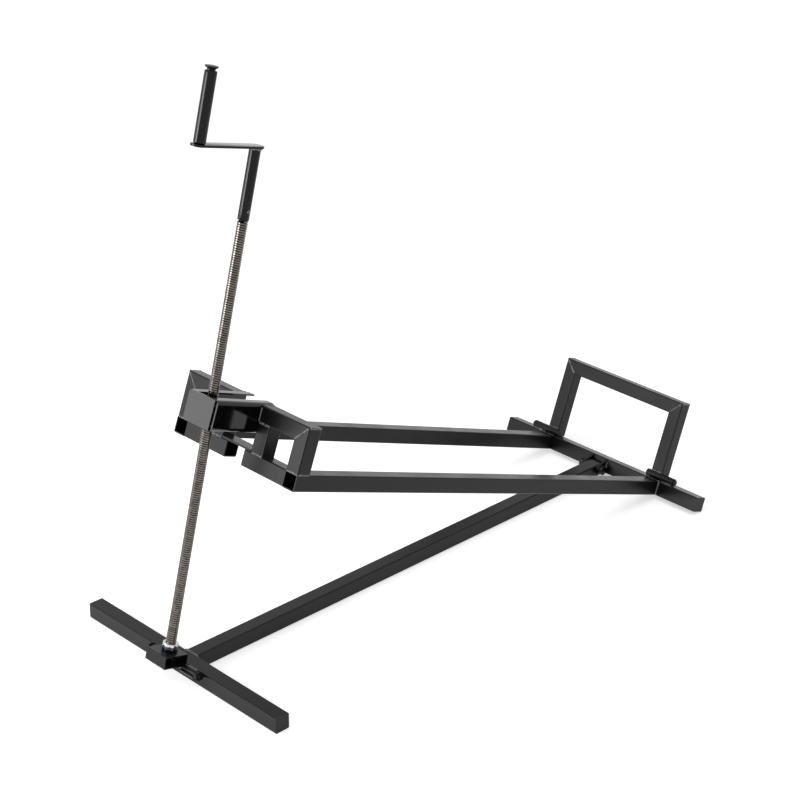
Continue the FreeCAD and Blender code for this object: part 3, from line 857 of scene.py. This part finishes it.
class JACK_OT_fasteners(bpy.types.Operator):
    """Make the hinge bolt, the pivot pin, their nuts and washers, and the backstop pins"""

    bl_idname = "jack.fasteners"
    bl_label = "Make the fasteners"

    # Millimetres along each bolt or pin, from the middle of the jack. A shank, its thread, its nut
    # and its head overlap a little where that is hidden.
    across_flats = 17.0
    edge = 0.3
    hinge_nut = (-31.5, -23.5)
    hinge_washers = ((-23.5, -21.5), (21.5, 23.5))
    washer_radius, washer_bore, washer_edge = 10.0, 5.1, 0.4
    hinge_head = (23.5, 30.0)
    hinge_end = -34.5
    hinge_radius, hinge_core = 5.0, 4.2
    pin_head = (-65.0, -62.0)
    pin_nut = (62.0, 70.0)
    pin_end = 74.0
    pin_radius, pin_core, pin_head_radius = 6.0, 5.1, 8.5
    stop_pin = (121.0, 192.4)
    stop_radius, stop_edge = 4.0, 0.5
    stop_head_radius, stop_head_height = 6.0, 3.0
    head_edge = 0.8

    def execute(self, context):
        black = finish("black_zinc_plate")
        paint = finish("satin_black_powder_coat")
        pitch = context.scene.jack_thread.bolt_pitch
        across = Matrix.Rotation(math.pi / 2, 4, "Y")
        hinge, pivot = FRAME_PLACE @ across, BLOCK_PLACE @ across

        work = bmesh.new()
        plain_end, head = self.hinge_nut[0], self.hinge_head[0]
        turned(work, rounded_rod(self.hinge_radius, plain_end + 0.2, head + 0.2, self.edge))
        hexagonal(work, self.across_flats, *self.hinge_head, 0.0)
        depth = self.hinge_radius - self.hinge_core
        self.add_thread(work, self.hinge_core, depth, pitch, self.hinge_end, plain_end + 1, black)
        stand_in(work, "hinge_bolt_plated", "hinge_bolt", hinge, "lift_frame", black)

        work = bmesh.new()
        hexagonal(work, self.across_flats, *self.hinge_nut, self.hinge_radius, ("low", "high"))
        stand_in(work, "hinge_nut_plated", "hinge_nut", hinge, "lift_frame", black)

        work = bmesh.new()
        for low, high in self.hinge_washers:
            turned(work, rounded_rod(self.washer_radius, low, high, self.washer_edge, self.washer_bore))
        stand_in(work, "hinge_washers_plated", "hinge_washers", hinge, "lift_frame", black)

        work = bmesh.new()
        head, plain_end = self.pin_head[1], self.pin_nut[1]
        turned(work, rounded_rod(self.pin_radius, head - 0.2, plain_end - 0.5, self.edge))
        turned(work, rounded_rod(self.pin_head_radius, *self.pin_head, self.head_edge))
        depth = self.pin_radius - self.pin_core
        self.add_thread(work, self.pin_core, depth, pitch, plain_end - 1, self.pin_end, paint)
        stand_in(work, "pivot_pin_turned", "pivot_pin", pivot, "rocking_block", paint)

        work = bmesh.new()
        hexagonal(work, self.across_flats, *self.pin_nut, self.pin_radius, ("low", "high"))
        stand_in(work, "pivot_nut_painted", "pivot_nut", pivot, "rocking_block", paint)

        fold = placed_at(Vector(joints["backstop_fold"]["pos_m"]), FRAME_TILT)
        for side, node in ((1, "backstop_pin_right"), (-1, "backstop_pin_left")):
            work = bmesh.new()
            start, end = self.stop_pin
            head = end - self.stop_head_height
            turned(work, rounded_rod(self.stop_radius, start, head + 0.1, self.stop_edge))
            turned(work, rounded_rod(self.stop_head_radius, head, end, self.head_edge))
            flip = Matrix.Rotation(side * math.pi / 2, 4, "Y")
            stand_in(work, node + "_plated", node, fold @ flip, "lift_frame", black)
        return {"FINISHED"}

    def add_thread(self, work, core, depth, pitch, start, end, material):
        """Winds a short thread into a bmesh between two heights in millimetres."""
        mesh = wound_thread(core * MM, depth * MM, pitch, (end - start) * MM, 16, material)
        mesh.transform(Matrix.Translation((0, 0, start * MM)))
        work.from_mesh(mesh)
        bpy.data.meshes.remove(mesh)


class JACK_OT_welds(bpy.types.Operator):
    """Lay the weld beads where the tubes and plates meet"""

    bl_idname = "jack.welds"
    bl_label = "Lay the welds"

    # Lifting frame and backstop: millimetres from the hinge bolt, with the frame level
    tube, stop_tube = 30.0, 28.0
    rail_out, rail_in = 158.0, 128.0
    bar_front, bar_bottom, bar_top = 14.0, -6.0, 24.0
    portal_front, portal_rear, portal_top = -1033.0, -1003.0, 108.0
    channel_side, post_out = 37.5, 67.5
    ear_side, ear_low, ear_high = 22.0, -4.0, 20.0
    seat_in, seat_out, seat_front, seat_rear = 162.0, 190.0, 17.0, 25.0
    stop_front, stop_rear, stop_top = 21.3, 49.3, 190.2
    stop_out, stop_in = 155.0, 127.0
    knuckle_front, knuckle_top = 22.0, 39.0
    # Crank: along the screw. Base: from the middle of the front foot, on the floor
    ring_radius, ring_height = 9.6, 912.0
    spine_side, spine_low, spine_high = 15.0, 4.0, 29.0
    cradle_in, cradle_out, cradle_front, cradle_top = 30.0, 60.0, -14.5, 28.5
    # How far a bead's middle is under a face, proud of a wall, inside a rim and away from a corner
    sink, proud, seat_proud, corner = 1.4, 0.6, 0.5, 2.0
    rim_sink, stop_rim_sink, channel_rim_sink = 1.6, 1.5, 1.0
    # What a seam's ends stop short by, and how far down the channel's seams start
    end_margin, seam_start = 3.2, 3.0

    def execute(self, context):
        lines = []
        for side in (1, -1):
            lines += self.portal_lines(side)
            lines += self.rail_lines(side)
        weld_lines("welds_lift_frame", [self.on_frame(line) for line in lines], "lift_frame")
        weld_lines("welds_backstop", [self.on_frame(line) for line in self.stop_lines()], "backstop")
        base = [[Vector(point) * MM for point in line] for line in self.base_lines()]
        weld_lines("welds_base", base, "base")
        steps = 32
        ring = []
        for step in range(steps + 1):
            angle = 2 * math.pi * step / steps
            around = Vector((math.cos(angle), math.sin(angle), 0)) * self.ring_radius
            ring.append(SCREW_PLACE @ ((around + Vector((0, 0, self.ring_height))) * MM))
        weld_lines("weld_crank", [ring], "turning_screw")
        return {"FINISHED"}

    def on_frame(self, line):
        """Line of the level lifting frame, shortened at its ends and moved to its place."""
        points = [Vector(point) for point in line]
        first = (points[1] - points[0]).normalized() * self.end_margin
        last = (points[-2] - points[-1]).normalized() * self.end_margin
        points[0] += first
        points[-1] += last
        return [FRAME_PLACE @ (point * MM) for point in points]

    def portal_lines(self, side):
        """Mitre, posts, lower bar, inner post and channel of one side."""
        front, rear = self.portal_front, self.portal_rear
        out, inner, top, low = side * self.rail_out, side * self.rail_in, self.portal_top, self.bar_top
        wall, post, under = side * (self.channel_side + self.proud), side * self.post_out, top - self.tube
        lines = []
        for y in (front + self.sink, rear - self.sink):
            lines.append([(out - side * self.corner, y, top - self.corner), (inner, y, under)])
            lines.append([(out, y, low), (inner, y, low)])
            lines.append([(post, y, low), (wall, y, low)])
            lines.append([(post, y, under), (wall, y, under)])
            lines.append([(wall, y, top - self.seam_start), (wall, y, under)])
        lines.append([(inner, rear, self.bar_bottom), (inner, rear, self.bar_top)])
        for x, z in (
            (out - side, top - self.rim_sink), (out - side * self.sink, low),
            (inner, low), (wall, top - self.channel_rim_sink),
        ):
            lines.append([(x, front, z), (x, rear, z)])
        return lines

    def rail_lines(self, side):
        """Rail end on the rear bar, the ear beside the spine and the backstop's seat."""
        out, inner, y = side * self.rail_out, side * self.rail_in, self.bar_front
        under = self.bar_top - self.sink
        lines = [[(x, y, z) for x, z in ((out, self.bar_bottom), (out, under), (inner, under))]]
        ear = side * self.ear_side
        lines.append([(ear, y, self.ear_low), (ear, y, self.ear_high)])
        above = self.bar_top + self.seat_proud
        for x in (side * self.seat_in, side * self.seat_out):
            lines.append([(x, self.seat_front, above), (x, self.seat_rear, above)])
        y, above = self.seat_front - self.seat_proud, self.bar_top + self.proud
        lines.append([(side * self.seat_in, y, above), (side * (self.seat_out - self.corner), y, above)])
        return lines

    def stop_lines(self):
        """Mitres and knuckles of the backstop."""
        top = self.stop_top
        lines = []
        for side in (1, -1):
            out, inner = side * self.stop_out, side * self.stop_in
            for y in (self.stop_front + self.sink, self.stop_rear - self.sink):
                start = (out - side * self.corner, y, top - self.corner)
                lines.append([start, (inner, y, top - self.stop_tube)])
            rim = top - self.stop_rim_sink
            lines.append([(out - side, y, rim) for y in (self.stop_front, self.stop_rear)])
            lines.append([(x, self.knuckle_front, self.knuckle_top) for x in (out, inner)])
        return lines

    def base_lines(self):
        """Spine on the foot and the cradles on its front edge."""
        half, low, high = self.spine_side, self.spine_low, self.spine_high
        lines = [[(-half, half, low), (-half, half, high), (half, half, high), (half, half, low)]]
        for side in (1, -1):
            lines.append([
                (side * x, self.cradle_front, self.cradle_top) for x in (self.cradle_in, self.cradle_out)
            ])
        return lines


class JACK_OT_stage(bpy.types.Operator):
    """Set the pale floor, the studio lamps and the camera"""

    bl_idname = "jack.stage"
    bl_label = "Set the stage"

    position = (2.46410, -1.91399, 1.99721)
    azimuth, elevation, roll = 45.338, 25.340, 0.723
    floor_size, floor_drop, floor_lift = 12.0, 0.0004, 0.5

    def execute(self, context):
        studio = context.scene.jack_studio
        scene = context.scene
        scene.view_settings.view_transform = "Standard"
        self.floor(studio)
        self.lamp("overhead_softbox", (0.3, 0.2, 2.8), (0, 0.5, 0.2), 2.2, 2.2, studio.key)
        self.lamp("side_softbox", (-1.6, -2.0, 0.85), (0, 0, 0.8), 1.1, 1.6, studio.side)
        self.lamp("strip_softbox", (-0.75, -2.25, 1.15), (0, 0, 0.9), 1.0, 1.2, studio.strip)
        self.world(studio)
        self.camera(studio)
        return {"FINISHED"}

    def floor(self, studio):
        """Wide paper floor that shows white to the camera and keeps the shadow."""
        work = bmesh.new()
        bmesh.ops.create_grid(work, x_segments=2, y_segments=2, size=self.floor_size)
        mesh = bpy.data.meshes.new("paper_floor")
        work.to_mesh(mesh)
        work.free()
        mesh.transform(Matrix.Translation((0, 0, -self.floor_drop)))
        ground = bpy.data.objects.new("paper_floor", mesh)
        bpy.context.scene.collection.objects.link(ground)
        material, tree, principled = shader("matt_paper")
        glow = add(tree, "ShaderNodeMath", {"operation": "MULTIPLY", 1: self.floor_lift}, {
            0: seen_rays(tree),
        })
        set_up(tree, principled, {
            "Base Color": studio.floor, "Roughness": 0.9,
            "Specular IOR Level": 0.2, "Emission Color": (1, 1, 1, 1),
        }, {"Emission Strength": glow.outputs[0]})
        mesh.materials.append(material)

    def lamp(self, name, place, target, width, height, power):
        """Rectangular area lamp at a place, aimed at a target."""
        data = bpy.data.lights.new(name, "AREA")
        data.shape = "RECTANGLE"
        data.size = width
        data.size_y = height
        data.energy = power
        lamp = bpy.data.objects.new(name, data)
        bpy.context.scene.collection.objects.link(lamp)
        lamp.location = place
        lamp.rotation_mode = "QUATERNION"
        lamp.rotation_quaternion = (Vector(target) - Vector(place)).to_track_quat("-Z", "Y")

    def world(self, studio):
        """Plain pale surround that shows white to the camera and in reflections."""
        world = bpy.data.worlds.new("pale_studio")
        bpy.context.scene.world = world
        world.use_nodes = True
        tree = world.node_tree
        strength = add(
            tree, "ShaderNodeMapRange", {"To Min": studio.surround, "To Max": 1}, {"Value": seen_rays(tree)}
        )
        set_up(tree, tree.nodes["Background"], {"Color": (1, 1, 1, 1)}, {
            "Strength": strength.outputs["Result"],
        })

    def camera(self, studio):
        """Camera at the photograph's place."""
        turn, tip, roll = (math.radians(v) for v in (self.azimuth, self.elevation, self.roll))
        look = Vector((-math.sin(turn) * math.cos(tip), math.cos(turn) * math.cos(tip), -math.sin(tip)))
        side = Vector((math.cos(turn), math.sin(turn), 0))
        up = side.cross(look)
        right = math.cos(roll) * side + math.sin(roll) * up
        above = -math.sin(roll) * side + math.cos(roll) * up
        data = bpy.data.cameras.new("camera")
        data.lens = studio.lens
        data.sensor_width = 36.0
        data.clip_start = 0.1
        data.clip_end = 100.0
        camera = bpy.data.objects.new("camera", data)
        bpy.context.scene.collection.objects.link(camera)
        axes = Matrix((right, above, -look)).transposed().to_4x4()
        camera.matrix_world = Matrix.Translation(self.position) @ axes
        bpy.context.scene.camera = camera


class JACK_PT_sidebar(bpy.types.Panel):
    """Lists the steps that dress the jack"""

    bl_idname = "JACK_PT_sidebar"
    bl_label = "Mower Jack"
    bl_space_type = "VIEW_3D"
    bl_region_type = "UI"
    bl_category = "Mower Jack"

    def draw(self, context):
        for operator in STEPS:
            self.layout.operator(operator.bl_idname)
        for kind, place in GROUPS:
            box = self.layout.box()
            for name in kind.__annotations__:
                box.prop(getattr(context.scene, place), name)


STEPS = (
    JACK_OT_stage, JACK_OT_paint, JACK_OT_screw, JACK_OT_bearing,
    JACK_OT_crank, JACK_OT_fasteners, JACK_OT_welds,
)
GROUPS = (
    (JackThreadSizes, "jack_thread"),
    (JackWeldSizes, "jack_welds"),
    (JackFinishColours, "jack_colours"),
    (JackStudio, "jack_studio"),
)


def register():
    """Registers the property groups, the operators and the panel."""
    for group, name in GROUPS:
        bpy.utils.register_class(group)
        setattr(bpy.types.Scene, name, PointerProperty(type=group))
    for operator in STEPS:
        bpy.utils.register_class(operator)
    bpy.utils.register_class(JACK_PT_sidebar)


def unregister():
    """Removes everything that register added."""
    bpy.utils.unregister_class(JACK_PT_sidebar)
    for operator in reversed(STEPS):
        bpy.utils.unregister_class(operator)
    for group, name in reversed(GROUPS):
        delattr(bpy.types.Scene, name)
        bpy.utils.unregister_class(group)


def main():
    """Runs every step in order."""
    register()
    for step in ("stage", "paint", "screw", "bearing", "crank", "fasteners", "welds"):
        getattr(bpy.ops.jack, step)()


if __name__ == "__main__":
    main()
